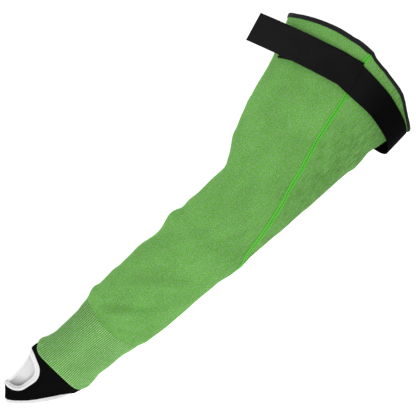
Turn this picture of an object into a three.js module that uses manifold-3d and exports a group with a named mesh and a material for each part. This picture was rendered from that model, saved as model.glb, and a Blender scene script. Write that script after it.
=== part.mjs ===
// Cut resistant sleeve: a knitted tube with a ribbed cuff, a hand part and a hook and loop strap.
// It lies on its flattened underside. X runs from the hand to the shoulder, +Y is the thumb side, Z is up.
// All lengths are in millimetres.
import * as THREE from "three";
import { mergeVertices } from "three/addons/utils/BufferGeometryUtils.js";
import Module from "manifold-3d";

const wasm = await Module();
wasm.setup();

// Lengths along the arm
const bodyLength = 462;
const cuffLength = 80;
const handReach = 66;
const handTuck = 9;

// Widths of the flattened tube and how high it stands
const cuffWidth = 80;
const forearmWidth = 97;
const elbowWidth = 104;
const armWidth = 160;
const hemWidth = 201;
const handLoft = 13;
const cuffLoft = 25;
const forearmLoft = 36;
const elbowLoft = 41;
const armLoft = 57;
const hemLoft = 64;

// Walls and gaps
const gap = 0.3;
const bodyWall = 1.4;
const cuffWall = 1.8;
const ribDepth = 0.7;
const ribPitch = 2.8;
const handWall = 1.2;
const liningWall = 1.0;
const bindingThickness = 1.0;
const bindingWidth = 4.6;

// Flatlock seam
const seamWidth = 5.4;
const seamThickness = 0.8;

// Hook and loop strap
const strapWidth = 38;
const strapThickness = 1.8;
const strapBelowHem = 40;
const tabLength = 140;
const tabTurn = THREE.MathUtils.degToRad(15.4);
const tabStartAcross = -24;
const tabAheadOfBand = 3.4;

// Thumb hole and finger edge
const thumbHoleLength = 0.82 * handReach;
const thumbHoleDepth = 27;
const thumbHoleFromCuff = 0.38 * handReach;
const thumbRimHeight = 6.5;
const thumbBindingWidth = 6;
const fingerLayerStep = 4;

// Mesh steps
const bodySteps = 29;
const bodySides = 34;
const cuffSteps = 4;
const seamSteps = 26;
const handSteps = 9;
const handSides = 32;

// Depth of a full fold in the knit
const foldDepth = 4;

// What follows from the sizes above
const armEnd = cuffLength + bodyLength;
const handInset = cuffWall + gap;
const strapInner = gap + seamThickness + gap;
const strapLift = strapInner + strapThickness;

// A stretch of the form: its rows hold shares of the stretch's own run, width, loft and floor
function stretch({ from, run, width, loft, floor }, rows) {
  return rows.map((row) => ({
    at: from + row.along * run,
    width: row.wide * width,
    middle: row.middle * width,
    height: row.high * loft,
    bow: row.bow * width,
    floor: (row.floor ?? 0) * floor,
  }));
}

// The form of the arm, a row for each section from the hand to the hem.
// wide and high: the section's size. middle: how far it lies towards +Y.
// bow: how far the sides of a row lie ahead of its middle. floor: height of the underside.
const form = [
  ...stretch({ from: 0, run: -handReach, width: cuffWidth, loft: handLoft, floor: -handInset }, [
    { along: 1.10, wide: 0.95, middle: -0.090, high: 0.85, bow: 0, floor: 1 },
    { along: 0.50, wide: 0.95, middle: -0.090, high: 1.15, bow: 0, floor: 1 },
    { along: 0.15, wide: 0.99, middle: -0.080, high: 1.63, bow: 0.08, floor: 1 },
  ]),
  ...stretch({ from: 0, run: cuffLength, width: cuffWidth, loft: cuffLoft, floor: 0 }, [
    { along: 0.00, wide: 1.02, middle: -0.100, high: 0.96, bow: 0.15 },
    { along: 0.14, wide: 1.00, middle: -0.110, high: 1.00, bow: 0.14 },
    { along: 0.32, wide: 0.95, middle: -0.125, high: 0.98, bow: 0.12 },
    { along: 0.70, wide: 0.98, middle: -0.165, high: 1.06, bow: 0.11 },
    { along: 1.00, wide: 1.03, middle: -0.200, high: 1.16, bow: 0.11 },
  ]),
  ...stretch({ from: cuffLength, run: bodyLength, width: forearmWidth, loft: forearmLoft, floor: 0 }, [
    { along: 0.030, wide: 0.925, middle: -0.165, high: 0.88, bow: 0.08 },
    { along: 0.110, wide: 0.970, middle: -0.200, high: 0.96, bow: 0.04 },
    { along: 0.195, wide: 0.995, middle: -0.225, high: 1.00, bow: 0.02 },
    { along: 0.283, wide: 0.978, middle: -0.272, high: 1.04, bow: 0 },
  ]),
  ...stretch({ from: cuffLength, run: bodyLength, width: elbowWidth, loft: elbowLoft, floor: 0 }, [
    { along: 0.335, wide: 1.000, middle: -0.257, high: 0.97, bow: 0 },
    { along: 0.370, wide: 0.980, middle: -0.283, high: 0.95, bow: 0 },
    { along: 0.444, wide: 0.970, middle: -0.306, high: 0.98, bow: 0 },
    { along: 0.520, wide: 0.995, middle: -0.325, high: 1.04, bow: 0 },
    { along: 0.549, wide: 1.050, middle: -0.312, high: 1.09, bow: 0 },
  ]),
  ...stretch({ from: cuffLength, run: bodyLength, width: armWidth, loft: armLoft, floor: strapLift }, [
    { along: 0.604, wide: 0.785, middle: -0.165, high: 0.84, bow: -0.01, floor: 0 },
    { along: 0.692, wide: 0.885, middle: -0.131, high: 0.93, bow: -0.04, floor: 0.10 },
    { along: 0.778, wide: 0.965, middle: -0.111, high: 1.00, bow: -0.08, floor: 0.60 },
    { along: 0.835, wide: 1.000, middle: -0.100, high: 1.04, bow: -0.11, floor: 1 },
  ]),
  ...stretch({ from: cuffLength, run: bodyLength, width: hemWidth, loft: hemLoft, floor: strapLift }, [
    { along: 0.890, wide: 0.845, middle: -0.070, high: 0.960, bow: -0.105, floor: 1 },
    { along: 0.945, wide: 0.915, middle: -0.062, high: 0.985, bow: -0.130, floor: 1 },
    { along: 1.000, wide: 1.000, middle: -0.058, high: 1.000, bow: -0.160, floor: 1 },
  ]),
];

// The route of the seam: along is a share of the body, around is the angle from the thumb side over the top
const seamRoute = [
  { along: 0.00, around: 206 },
  { along: 0.12, around: 204 },
  { along: 0.24, around: 196 },
  { along: 0.31, around: 186 },
  { along: 0.348, around: 174 },
  { along: 0.397, around: 152 },
  { along: 0.457, around: 140 },
  { along: 0.522, around: 127.5 },
  { along: 0.595, around: 118 },
  { along: 0.652, around: 115 },
  { along: 0.710, around: 110.5 },
  { along: 0.781, around: 103.5 },
  { along: 0.857, around: 99 },
  { along: 0.960, around: 92 },
  { along: 1.00, around: 92 },
];

// The main folds of the knit, a row for each. along: share of the body. around: degrees.
// turn: degrees between the fold and the arm. reach and spread: half length and half width as shares
// of the forearm's width. depth: share of a full fold, a valley below zero.
const folds = [
  { along: 0.075, around: 80, turn: 40, reach: 0.48, spread: 0.10, depth: -0.75 },
  { along: 0.140, around: 84, turn: 38, reach: 0.60, spread: 0.13, depth: 0.60 },
  { along: 0.235, around: 98, turn: 68, reach: 0.36, spread: 0.09, depth: -0.45 },
  { along: 0.375, around: 118, turn: 28, reach: 0.32, spread: 0.10, depth: -0.65 },
  { along: 0.435, around: 128, turn: 24, reach: 0.36, spread: 0.10, depth: 0.35 },
  { along: 0.570, around: 96, turn: 18, reach: 0.30, spread: 0.09, depth: -0.60 },
  { along: 0.540, around: 60, turn: 60, reach: 0.30, spread: 0.11, depth: -0.70 },
  { along: 0.605, around: 52, turn: 52, reach: 0.36, spread: 0.12, depth: 0.50 },
  { along: 0.735, around: 94, turn: 45, reach: 0.26, spread: 0.09, depth: -0.40 },
  { along: 0.725, around: 124, turn: 18, reach: 0.42, spread: 0.08, depth: 0.35 },
  { along: 0.690, around: 134, turn: 16, reach: 0.46, spread: 0.08, depth: -0.40 },
];

// The strap band: around in degrees, ahead of the strap's place as a share of its width
const bandRoute = [
  { around: 40, ahead: -0.64 },
  { around: 70, ahead: -0.22 },
  { around: 92, ahead: 0.00 },
  { around: 115, ahead: 0.00 },
  { around: 150, ahead: -0.16 },
  { around: 180, ahead: -0.34 },
  { around: 225, ahead: -0.42 },
  { around: 322, ahead: -0.48 },
];

const rad = THREE.MathUtils.degToRad;

// Smooth reading of one column of a table, without overshoot between its rows
function readColumn(table, key, column, at) {
  const last = table.length - 1;
  const place = THREE.MathUtils.clamp(at, table[0][key], table[last][key]);
  let row = 0;
  while (row < last - 1 && place > table[row + 1][key]) row += 1;
  const slope = (i) => {
    const span = table[i + 1][key] - table[i][key];
    return (table[i + 1][column] - table[i][column]) / span;
  };
  const tangent = (i) => {
    if (i === 0) return slope(0);
    if (i === last) return slope(last - 1);
    const before = slope(i - 1);
    const after = slope(i);
    return before * after <= 0 ? 0 : (2 * before * after) / (before + after);
  };
  const span = table[row + 1][key] - table[row][key];
  const t = (place - table[row][key]) / span;
  const h = t * t * (3 - 2 * t);
  const rise = t * (1 - t) * (1 - t) * tangent(row) * span;
  const fall = t * t * (t - 1) * tangent(row + 1) * span;
  return table[row][column] * (1 - h) + table[row + 1][column] * h + rise + fall;
}

// How far the folds lift the knit at a place, in millimetres
function foldLift(at, angle) {
  const girthRadius = forearmWidth / 2;
  let lift = 0;
  for (const fold of folds) {
    const ahead = at - cuffLength - fold.along * bodyLength;
    const around = (angle - rad(fold.around)) * girthRadius;
    const turn = rad(fold.turn);
    const run = (ahead * Math.cos(turn) + around * Math.sin(turn)) / (fold.reach * forearmWidth);
    const side = (around * Math.cos(turn) - ahead * Math.sin(turn)) / (fold.spread * forearmWidth);
    lift += fold.depth * foldDepth * Math.exp(-run * run - side * side);
  }
  return lift * Math.max(0, Math.sin(angle));
}

const topRoundness = 2 / 2.3;
const underRoundness = 2 / 2.7;
const widestLevel = 0.42;
const underReach = 1.12;

const signedPower = (value, power) => Math.sign(value) * Math.abs(value) ** power;

// A point of the arm's surface. angle runs from the thumb side over the top; grow moves it outwards.
function armPoint(at, angle, grow) {
  const inside = THREE.MathUtils.clamp(at, form[0].at, armEnd);
  const [width, middle, height, bow, floor] = ["width", "middle", "height", "bow", "floor"]
    .map((column) => readColumn(form, "at", column, inside));
  const over = Math.sin(angle) >= 0;
  const across = signedPower(Math.cos(angle), over ? topRoundness : underRoundness);
  const level = floor + widestLevel * (height - floor);
  const upper = height + grow - level;
  const lower = underReach * (level - floor + grow);
  const rise = Math.abs(Math.sin(angle)) ** (over ? topRoundness : underRoundness);
  const free = over ? level + upper * rise : level - lower * rise;
  const lift = foldLift(inside, angle);
  return new THREE.Vector3(
    at + bow * Math.abs(across) ** 1.8,
    middle + (width / 2 + grow) * across + 0.5 * lift * Math.cos(angle),
    Math.max(floor - grow, free) + lift * Math.abs(Math.sin(angle)),
  );
}

// Geometry from points and triangles, its shared corners merged
function fromTriangles(points, triangles) {
  const geometry = new THREE.BufferGeometry();
  const flat = points.flatMap((p) => [p.x, p.y, p.z]);
  geometry.setAttribute("position", new THREE.Float32BufferAttribute(flat, 3));
  geometry.setIndex(triangles.flat());
  return geometry;
}

// A closed ring: each section is a loop of points, and the last section meets the first
function ringSolid(sections) {
  const count = sections.length;
  const side = sections[0].length;
  const triangles = [];
  for (let i = 0; i < count; i += 1) {
    for (let j = 0; j < side; j += 1) {
      const a = i * side + j;
      const b = i * side + ((j + 1) % side);
      const c = ((i + 1) % count) * side + j;
      const d = ((i + 1) % count) * side + ((j + 1) % side);
      triangles.push([a, d, b], [a, c, d]);
    }
  }
  return fromTriangles(sections.flat(), triangles);
}

// A strip with two ends: each section is a loop of points
function stripSolid(sections) {
  const side = sections[0].length;
  const triangles = [];
  for (let i = 0; i + 1 < sections.length; i += 1) {
    for (let j = 0; j < side; j += 1) {
      const a = i * side + j;
      const b = i * side + ((j + 1) % side);
      triangles.push([a, b, b + side], [a, b + side, a + side]);
    }
  }
  const end = (sections.length - 1) * side;
  for (let j = 1; j + 1 < side; j += 1) {
    triangles.push([0, j + 1, j], [end, end + j, end + j + 1]);
  }
  return fromTriangles(sections.flat(), triangles);
}

function toManifold(geometry) {
  const bare = new THREE.BufferGeometry();
  bare.setAttribute("position", geometry.getAttribute("position").clone());
  if (geometry.index) bare.setIndex(geometry.index.clone());
  const merged = mergeVertices(bare, 1e-4);
  const mesh = new wasm.Mesh({
    numProp: 3,
    vertProperties: new Float32Array(merged.getAttribute("position").array),
    triVerts: new Uint32Array(merged.index.array),
  });
  return new wasm.Manifold(mesh);
}

function fromManifold(solid) {
  const mesh = solid.getMesh();
  const geometry = new THREE.BufferGeometry();
  const flat = Array.from(mesh.vertProperties);
  geometry.setAttribute("position", new THREE.Float32BufferAttribute(flat, 3));
  geometry.setIndex(Array.from(mesh.triVerts));
  return geometry;
}

// Evenly spaced values from one end to the other
function steps(from, to, count) {
  return Array.from({ length: count + 1 }, (_, i) => from + ((to - from) * i) / count);
}

// A tube wall between two places, with its outer and inner face at the given growths
function tubeWall(places, sides, outer, inner) {
  const sections = [];
  for (let i = 0; i < sides; i += 1) {
    const angle = (2 * Math.PI * i) / sides;
    const outside = places.map((at) => armPoint(at, angle, outer(i)));
    const inside = [...places].reverse().map((at) => armPoint(at, angle, inner));
    sections.push([...outside, ...inside]);
  }
  return ringSolid(sections);
}

const bodyPlaces = steps(cuffLength, armEnd - bindingThickness - gap, bodySteps);

function bodyGeometry() {
  return tubeWall(bodyPlaces, bodySides, () => 0, -bodyWall);
}

function cuffGeometry() {
  const ribs = Math.round((2 * cuffWidth) / ribPitch);
  const places = [0, ...steps(handTuck, cuffLength - gap, cuffSteps)];
  return tubeWall(places, 2 * ribs, (i) => (i % 2 ? 0 : -ribDepth), -cuffWall);
}

// The hem binding, a channel folded over the edge of the knit
function topBindingGeometry() {
  const sections = [];
  for (let i = 0; i < bodySides; i += 1) {
    const angle = (2 * Math.PI * i) / bodySides;
    const outer = gap + bindingThickness;
    const inner = -bodyWall - gap;
    sections.push([
      armPoint(armEnd - bindingWidth, angle, gap),
      armPoint(armEnd - bindingWidth, angle, outer),
      armPoint(armEnd - bindingThickness / 2, angle, outer),
      armPoint(armEnd, angle, outer - bindingThickness / 2),
      armPoint(armEnd, angle, inner - bindingThickness / 2),
      armPoint(armEnd - bindingThickness / 2, angle, inner - bindingThickness),
      armPoint(armEnd - bindingWidth, angle, inner - bindingThickness),
      armPoint(armEnd - bindingWidth, angle, inner),
      armPoint(armEnd - bindingThickness, angle, inner),
      armPoint(armEnd - bindingThickness, angle, gap),
    ]);
  }
  return ringSolid(sections);
}

// A strip that follows the seam's route, between two growths of the knit
function seamStrip(width, low, high) {
  const sections = steps(cuffLength + 1, armEnd - bindingWidth - 4 * gap, seamSteps).map((at) => {
    const around = rad(readColumn(seamRoute, "along", "around", (at - cuffLength) / bodyLength));
    const nudge = 0.02;
    const across = armPoint(at, around + nudge, 0).distanceTo(armPoint(at, around - nudge, 0));
    const half = (width * nudge) / across;
    return [
      armPoint(at, around + half, low),
      armPoint(at, around - half, low),
      armPoint(at, around - half, high),
      armPoint(at, around + half, high),
    ];
  });
  return toManifold(stripSolid(sections));
}

// The seam lies on the facets of the knit: a strip of the layer just outside it
function seamGeometry() {
  const top = gap + seamThickness;
  const outside = toManifold(tubeWall(bodyPlaces, bodySides, () => top, -2 * bodyWall));
  const inside = toManifold(tubeWall(bodyPlaces, bodySides, () => gap, -3 * bodyWall));
  const strip = seamStrip(seamWidth, -bodyWall, strapLift);
  return fromManifold(strip.intersect(outside).subtract(inside));
}

// Where along the form the band's upper edge crosses the knit at an angle
function bandReference(angle) {
  const ahead = readColumn(bandRoute, "around", "ahead", THREE.MathUtils.radToDeg(angle));
  const edge = armEnd - strapBelowHem + ahead * strapWidth + strapWidth / 2;
  let low = cuffLength;
  let high = armEnd;
  for (let i = 0; i < 24; i += 1) {
    const middle = (low + high) / 2;
    if (armPoint(middle, angle, 0).x < edge) low = middle;
    else high = middle;
  }
  return low;
}

// A point of the band, straight across its width so that it stands off the narrower knit below it
function bandPoint(angle, across, grow) {
  const ahead = readColumn(bandRoute, "around", "ahead", THREE.MathUtils.radToDeg(angle));
  const point = armPoint(bandReference(angle), angle, grow);
  point.x = armEnd - strapBelowHem + ahead * strapWidth + across;
  return point;
}

function bandGeometry() {
  const first = bandRoute[0].around;
  const last = bandRoute[bandRoute.length - 1].around;
  const half = strapWidth / 2;
  const sections = steps(first, last, 44).map((degrees) => {
    const angle = rad(degrees);
    return [
      bandPoint(angle, -half, strapInner),
      bandPoint(angle, half, strapInner),
      bandPoint(angle, half, strapLift),
      bandPoint(angle, -half, strapLift),
    ];
  });
  return stripSolid(sections);
}

// Height of the band's outer face over the thumb side, at a distance across the arm
function bandHeight(across) {
  let low = 0;
  let high = Math.PI / 2 + rad(30);
  for (let i = 0; i < 24; i += 1) {
    const middle = (low + high) / 2;
    if (bandPoint(middle, 0, strapLift).y > across) low = middle;
    else high = middle;
  }
  return bandPoint(low, 0, strapLift).z;
}

// The tab follows the band, then runs on past the side of the sleeve with a slight droop
function tabGeometry() {
  const half = strapWidth / 2;
  const startX = armEnd - strapBelowHem + tabAheadOfBand;
  const leave = 0.5;
  const droopSlope = 0.30;
  const droopEnd = 0.42;
  const count = 14;
  const stepLength = tabLength / count;
  const sections = [];
  let across = 0;
  let height = 0;
  for (let i = 0; i <= count; i += 1) {
    const share = i / count;
    const y = tabStartAcross + across * Math.cos(tabTurn);
    const sideways = half * Math.sin(tabTurn);
    const resting = Math.max(bandHeight(y - sideways), bandHeight(y), bandHeight(y + sideways)) + gap;
    const past = Math.max(0, share - leave) / (1 - leave);
    const slope = past > 0 ? THREE.MathUtils.lerp(droopSlope, droopEnd, past) : 0;
    const base = past > 0 ? Math.max(height - slope * stepLength, resting) : resting;
    const fall = i === 0 ? 0 : height - base;
    height = base;
    const corner = (r, up) => new THREE.Vector3(
      startX - across * Math.sin(tabTurn) + r * Math.cos(tabTurn),
      y + r * Math.sin(tabTurn),
      base + up,
    );
    sections.push([
      corner(half, 0),
      corner(-half, 0),
      corner(-half, strapThickness),
      corner(half, strapThickness),
    ]);
    across += Math.sqrt(Math.max(0, stepLength * stepLength - fall * fall));
  }
  return stripSolid(sections);
}

// Upright cutter over the thumb side of the hand part, shrunk evenly by an inset
function thumbCutter(inset) {
  const outline = new THREE.Shape();
  const edge = armPoint(-thumbHoleFromCuff, 0, 0).y;
  const count = 20;
  for (let i = 0; i <= count; i += 1) {
    const angle = Math.PI + (Math.PI * i) / count;
    const x = -thumbHoleFromCuff + (thumbHoleLength / 2 - inset) * signedPower(Math.cos(angle), 0.8);
    const y = edge - (thumbHoleDepth - inset) * Math.abs(signedPower(Math.sin(angle), 0.8));
    if (i === 0) outline.moveTo(x, y);
    else outline.lineTo(x, y);
  }
  outline.lineTo(-thumbHoleFromCuff + thumbHoleLength / 2 - inset, edge + cuffWidth / 4);
  outline.lineTo(-thumbHoleFromCuff - thumbHoleLength / 2 + inset, edge + cuffWidth / 4);
  const geometry = new THREE.ExtrudeGeometry(outline, { depth: 2 * cuffLoft, bevelEnabled: false });
  geometry.translate(0, 0, thumbRimHeight + inset / 2);
  return toManifold(geometry);
}

// Cutter beyond the slanting finger edge; it leans so that the lower layer reaches further
function fingerCutter() {
  const far = 2 * handReach;
  const left = armPoint(-handReach, 0, 0).y;
  const right = armPoint(-handReach / 2, Math.PI, 0).y;
  const outline = new THREE.Shape();
  outline.moveTo(-0.76 * handReach, left + handInset);
  outline.lineTo(-0.80 * handReach, 0.76 * left);
  outline.lineTo(-0.92 * handReach, 0.54 * left);
  outline.lineTo(-0.96 * handReach, 0.34 * left);
  outline.quadraticCurveTo(-0.62 * handReach, 0.52 * right, -0.02 * handReach, 0.96 * right);
  outline.lineTo(0.06 * handReach, 1.4 * right);
  outline.lineTo(-far, 1.4 * right);
  outline.lineTo(-far, 1.4 * left);
  outline.lineTo(-0.76 * handReach, 1.4 * left);
  const extrusion = { depth: 2 * cuffLoft, bevelEnabled: false, curveSegments: 8 };
  const geometry = new THREE.ExtrudeGeometry(outline, extrusion);
  const place = geometry.getAttribute("position");
  for (let i = 0; i < place.count; i += 1) {
    const lean = (fingerLayerStep * (place.getZ(i) - handLoft)) / handLoft;
    place.setX(i, place.getX(i) + lean * Math.SQRT1_2);
    place.setY(i, place.getY(i) + lean * Math.SQRT1_2 * 0.6);
    place.setZ(i, place.getZ(i) - handInset);
  }
  return toManifold(geometry);
}

// One layer of the hand part, open at the fingers, before the thumb hole
function handLayer(outer, inner) {
  const places = [...steps(form[0].at, -gap, handSteps), handTuck];
  const wall = toManifold(tubeWall(places, handSides, () => outer, inner));
  return wall.subtract(fingerCutter());
}

function handGeometries() {
  const liningOuter = -handInset - handWall - gap;
  const inner = liningOuter - liningWall;
  const hole = thumbCutter(0);
  const ringOutline = thumbCutter(gap);
  const ringHole = thumbCutter(thumbBindingWidth);
  const cloth = handLayer(-handInset, -handInset - handWall).subtract(hole);
  const lining = handLayer(liningOuter, inner).subtract(hole);
  const ring = handLayer(-handInset, inner).intersect(ringOutline).subtract(ringHole);
  return { cloth: fromManifold(cloth), lining: fromManifold(lining), ring: fromManifold(ring) };
}

function finish(color, roughness) {
  return new THREE.MeshStandardMaterial({ color, roughness, metalness: 0 });
}

const knitGreen = finish(0x6ea753, 0.95);
const ribGreen = finish(0x74ac60, 0.95);
const threadGreen = finish(0x5bb83a, 0.8);
const strapBlack = finish(0x1c1c1d, 0.85);
const clothBlack = finish(0x121213, 0.9);
const liningWhite = finish(0xe4e4e2, 0.9);

const hand = handGeometries();
const pieces = [
  ["sleeve_body", bodyGeometry(), knitGreen],
  ["rib_cuff", cuffGeometry(), ribGreen],
  ["long_seam", seamGeometry(), threadGreen],
  ["top_binding", topBindingGeometry(), clothBlack],
  ["strap_band", bandGeometry(), strapBlack],
  ["strap_tab", tabGeometry(), strapBlack],
  ["hand_piece", hand.cloth, clothBlack],
  ["hand_lining", hand.lining, liningWhite],
  ["thumb_binding", hand.ring, liningWhite],
];

const sleeve = new THREE.Group();
for (const [name, geometry, material] of pieces) {
  const mesh = new THREE.Mesh(geometry, material);
  mesh.name = name;
  sleeve.add(mesh);
}

// The origin is under the middle of the whole sleeve
const extent = new THREE.Box3().setFromObject(sleeve);
const middle = extent.getCenter(new THREE.Vector3());
for (const mesh of sleeve.children) {
  mesh.geometry.translate(-middle.x, -middle.y, 0);
}

export default sleeve;
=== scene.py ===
"""The looks of the cut resistant sleeve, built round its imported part.

Its tables and surface functions are in millimetres: x starts at the cuff's hand-side edge and
runs to the shoulder, +y is the thumb side, z is up. Only to_frame turns them into the frame's.
"""
import math

import bpy
import numpy as np
from mathutils import Matrix, Vector


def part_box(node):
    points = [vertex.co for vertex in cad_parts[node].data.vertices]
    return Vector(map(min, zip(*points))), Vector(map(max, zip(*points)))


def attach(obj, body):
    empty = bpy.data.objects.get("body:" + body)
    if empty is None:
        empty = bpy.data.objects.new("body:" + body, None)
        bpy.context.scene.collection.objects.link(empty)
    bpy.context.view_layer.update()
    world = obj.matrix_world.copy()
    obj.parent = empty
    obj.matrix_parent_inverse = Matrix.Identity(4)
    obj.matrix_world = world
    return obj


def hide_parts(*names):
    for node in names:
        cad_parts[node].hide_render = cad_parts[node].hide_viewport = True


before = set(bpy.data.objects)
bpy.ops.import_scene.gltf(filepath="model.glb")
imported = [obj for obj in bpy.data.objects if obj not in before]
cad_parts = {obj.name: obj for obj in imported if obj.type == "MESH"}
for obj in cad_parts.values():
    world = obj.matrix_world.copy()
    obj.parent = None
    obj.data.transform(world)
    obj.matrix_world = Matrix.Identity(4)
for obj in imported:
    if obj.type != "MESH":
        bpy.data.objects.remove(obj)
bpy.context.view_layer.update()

# Sizes of the part. The tab, the seam and the ribs follow the photo more closely than the solids.
BODY_LENGTH = 462.0
CUFF_LENGTH = 80.0
HAND_REACH = 66.0
HAND_TUCK = 9.0
CUFF_WIDTH = 80.0
FOREARM_WIDTH = 97.0
ELBOW_WIDTH = 104.0
ARM_WIDTH = 160.0
HEM_WIDTH = 201.0
HAND_LOFT = 13.0
CUFF_LOFT = 25.0
FOREARM_LOFT = 36.0
ELBOW_LOFT = 41.0
ARM_LOFT = 57.0
HEM_LOFT = 64.0
GAP = 0.3
BODY_WALL = 1.4
CUFF_WALL = 1.8
RIB_DEPTH = 0.6
HAND_WALL = 1.2
LINING_WALL = 1.0
BINDING_WALL = 1.0
BINDING_WIDTH = 4.6
SEAM_WIDTH = 5.8
SEAM_WALL = 0.8
STRAP_WIDTH = 38.0
STRAP_WALL = 1.8
STRAP_BELOW_HEM = 40.0
TAB_LENGTH = 143.5
TAB_TURN = math.radians(15.4)
TAB_START_ACROSS = -24.0
TAB_AHEAD_OF_BAND = 3.4
RIB_COUNT = 82

# Relief of the knit
FOLD_DEPTH = 4.0
SIDE_FOLD_SHARE = 0.5
CREASE_EASE = 18.0
CREASE_STOP = 70.0
CREASE_STOP_EASE = 30.0
GATHER_DEPTH = 1.5
GATHER_COUNT = 64
GATHER_START = 2.0
GATHER_FADE = 11.0
WAVE_DEPTH = 0.28
WAVE_COUNT = 12
WAVE_SPREAD = 4
WAVE_LENGTH_RANGE = (26, 74)

# Steps of the searches and of slopes taken from two points
HALVINGS = 24
NUDGE = 0.02

# Places and lifts that follow from the sizes
ARM_END = CUFF_LENGTH + BODY_LENGTH
BAND_MIDDLE = ARM_END - STRAP_BELOW_HEM
HAND_INSET = CUFF_WALL + GAP
STRAP_INNER = GAP + SEAM_WALL + GAP
STRAP_LIFT = STRAP_INNER + STRAP_WALL

# The shape of the arm's section
TOP_ROUNDNESS = 2 / 2.3
UNDER_ROUNDNESS = 2 / 2.7
WIDEST_LEVEL = 0.42
UNDER_REACH = 1.12
HEM_EDGE_SHARE = 0.442


def stretch(start, run, width, loft, floor, rows):
    """A stretch's rows of shares (along, wide, middle, high, bow, floor) as lengths."""
    scale = np.array([run, width, width, loft, width, floor])
    lengths = np.array(rows) * scale
    lengths[:, 0] += start
    return lengths


# The form: place along, width, middle, height, bow and floor of its sections
FORM_ROWS = np.vstack([
    stretch(0, -HAND_REACH, CUFF_WIDTH, HAND_LOFT, -HAND_INSET, [
        (1.1, 0.95, -0.09, 0.85, 0, 1), (0.5, 0.95, -0.09, 1.15, 0, 1),
        (0.15, 0.99, -0.08, 1.63, 0.08, 1),
    ]),
    stretch(0, CUFF_LENGTH, CUFF_WIDTH, CUFF_LOFT, 0, [
        (0, 1.02, -0.1, 0.96, 0.15, 0), (0.14, 1, -0.11, 1, 0.14, 0),
        (0.32, 0.95, -0.125, 0.98, 0.12, 0), (0.7, 0.98, -0.165, 1.06, 0.11, 0),
        (1, 1.03, -0.2, 1.16, 0.11, 0),
    ]),
    stretch(CUFF_LENGTH, BODY_LENGTH, FOREARM_WIDTH, FOREARM_LOFT, 0, [
        (0.03, 0.925, -0.165, 0.88, 0.08, 0), (0.11, 0.97, -0.2, 0.96, 0.04, 0),
        (0.195, 0.995, -0.225, 1, 0.02, 0), (0.283, 0.978, -0.272, 1.04, 0, 0),
    ]),
    stretch(CUFF_LENGTH, BODY_LENGTH, ELBOW_WIDTH, ELBOW_LOFT, 0, [
        (0.335, 1, -0.257, 0.97, 0, 0), (0.37, 0.98, -0.283, 0.95, 0, 0),
        (0.444, 0.97, -0.306, 0.98, 0, 0), (0.52, 0.995, -0.325, 1.04, 0, 0),
        (0.549, 1.05, -0.312, 1.09, 0, 0),
    ]),
    stretch(CUFF_LENGTH, BODY_LENGTH, ARM_WIDTH, ARM_LOFT, STRAP_LIFT, [
        (0.604, 0.785, -0.165, 0.84, -0.01, 0), (0.692, 0.885, -0.131, 0.93, -0.04, 0.1),
        (0.778, 0.965, -0.111, 1, -0.08, 0.6), (0.835, 1, -0.1, 1.04, -0.11, 1),
    ]),
    stretch(CUFF_LENGTH, BODY_LENGTH, HEM_WIDTH, HEM_LOFT, STRAP_LIFT, [
        (0.89, 0.845, -0.07, 0.96, -0.105, 1), (0.945, 0.915, -0.062, 0.985, -0.13, 1),
        (1, 1, -0.058, 1, -0.16, 1),
    ]),
])

# The seam: place along as a share of the body, angle in degrees
SEAM_ROUTE = np.array([
    (0, 206), (0.12, 204), (0.24, 196), (0.31, 186), (0.348, 174), (0.397, 152), (0.457, 140),
    (0.522, 127), (0.595, 117.5), (0.652, 112.5), (0.71, 107), (0.781, 102), (0.857, 98.5),
    (0.96, 92), (1, 92),
])

# Folds: place along as a share of the body, angle and turn in degrees, reach, spread, depth
FOLDS = [
    (0.075, 80, 40, 0.48, 0.1, -0.75), (0.14, 84, 38, 0.6, 0.13, 0.6),
    (0.235, 98, 68, 0.36, 0.09, -0.45), (0.375, 118, 28, 0.32, 0.1, -0.65),
    (0.435, 128, 24, 0.36, 0.1, 0.35), (0.57, 96, 18, 0.3, 0.09, -0.6),
    (0.54, 60, 60, 0.3, 0.11, -0.7), (0.605, 52, 52, 0.36, 0.12, 0.5),
    (0.735, 94, 45, 0.26, 0.09, -0.4), (0.725, 124, 18, 0.42, 0.08, 0.35),
    (0.69, 134, 16, 0.46, 0.08, -0.4),
]

# The band: angle in degrees, how far it is ahead and how wide, as shares of its full width
BAND_ROUTE = np.array([
    (40, -0.64, 1), (70, -0.22, 1), (92, 0, 1), (104, 0, 0.97), (115, 0, 0.92),
    (140, -0.13, 0.86), (160, -0.28, 0.84), (180, -0.42, 0.87), (225, -0.5, 0.9),
    (322, -0.54, 1),
])


def read_table(table, column, at):
    """Smooth reading of a table's column by its first one, without overshoot between its rows."""
    keys, values = table[:, 0], table[:, column]
    slope = np.diff(values) / np.diff(keys)
    tangent = np.zeros_like(values)
    tangent[0], tangent[-1] = slope[0], slope[-1]
    before, after = slope[:-1], slope[1:]
    same = before * after > 0
    tangent[1:-1][same] = 2 * before[same] * after[same] / (before[same] + after[same])
    place = np.clip(at, keys[0], keys[-1])
    row = np.clip(np.searchsorted(keys, place) - 1, 0, len(keys) - 2)
    span = keys[row + 1] - keys[row]
    t = (place - keys[row]) / span
    h = t * t * (3 - 2 * t)
    rise = t * (1 - t) ** 2 * tangent[row] * span
    fall = t * t * (t - 1) * tangent[row + 1] * span
    return values[row] * (1 - h) + values[row + 1] * h + rise + fall


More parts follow.
